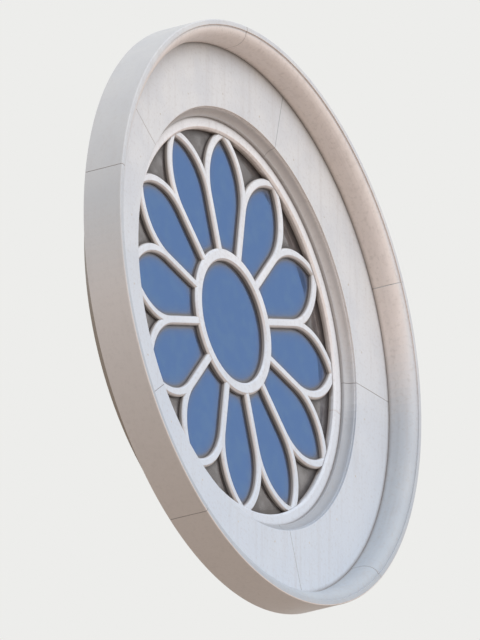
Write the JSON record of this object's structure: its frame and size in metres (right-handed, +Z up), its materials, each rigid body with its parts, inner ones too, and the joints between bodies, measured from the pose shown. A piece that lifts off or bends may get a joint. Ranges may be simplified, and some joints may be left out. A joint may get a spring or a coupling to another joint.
{
  "type": "oculus window",
  "caption": "Round fixed window of painted wood: a glazed sash with a petal tracery round a central eye, a broad flat casing and a deep moulded outer ring.",
  "frame": {"origin": "on the window's axis, in the plane where the back of the casing seats against the wall", "axes": "+X right and +Z up as seen from outside, +Y into the wall"},
  "size_m": [1.1999, 0.155, 1.2],
  "materials": {
    "painted_trim": "white oil paint on softwood, weathered to a cool off-white",
    "painted_sash": "white oil paint on softwood",
    "primed_lining": "grey-white primer on softwood",
    "glass": "old window glass that mirrors the blue sky",
    "soiled_glass": "old window glass, dull with soot, in the small panes",
    "putty": "hard linseed putty under paint",
    "brad_steel": "plain cut steel"
  },
  "bodies": {
    "root": {"backband_1": "painted_trim", "backband_2": "painted_trim", "backband_3": "painted_trim", "backband_4": "painted_trim", "backband_5": "painted_trim", "bar_01": "painted_sash", "bar_02": "painted_sash", "bar_03": "painted_sash", "bar_04": "painted_sash", "bar_05": "painted_sash", "bar_06": "painted_sash", "bar_07": "painted_sash", "bar_08": "painted_sash", "bar_09": "painted_sash", "bar_10": "painted_sash", "bar_11": "painted_sash", "bar_12": "painted_sash", "casing_1": "painted_trim", "casing_2": "painted_trim", "casing_3": "painted_trim", "casing_4": "painted_trim", "casing_5": "painted_trim", "fork_01": "painted_sash", "fork_02": "painted_sash", "fork_03": "painted_sash", "fork_04": "painted_sash", "fork_05": "painted_sash", "fork_06": "painted_sash", "fork_07": "painted_sash", "fork_08": "painted_sash", "fork_09": "painted_sash", "fork_10": "painted_sash", "fork_11": "painted_sash", "fork_12": "painted_sash", "glazing_putty": "putty", "hub_pane": "glass", "hub_ring": "painted_sash", "jamb": "primed_lining", "petal_pane_01": "glass", "petal_pane_02": "glass", "petal_pane_03": "glass", "petal_pane_04": "glass", "petal_pane_05": "glass", "petal_pane_06": "glass", "petal_pane_07": "glass", "petal_pane_08": "glass", "petal_pane_09": "glass", "petal_pane_10": "glass", "petal_pane_11": "glass", "petal_pane_12": "glass", "sash_rim_1": "painted_sash", "sash_rim_2": "painted_sash", "sash_rim_3": "painted_sash", "sash_rim_4": "painted_sash", "spandrel_panes": "soiled_glass", "stop_bead_1": "primed_lining", "stop_bead_2": "primed_lining", "stop_bead_3": "primed_lining", "stop_brads": "brad_steel"}
  },
  "joints": []
}
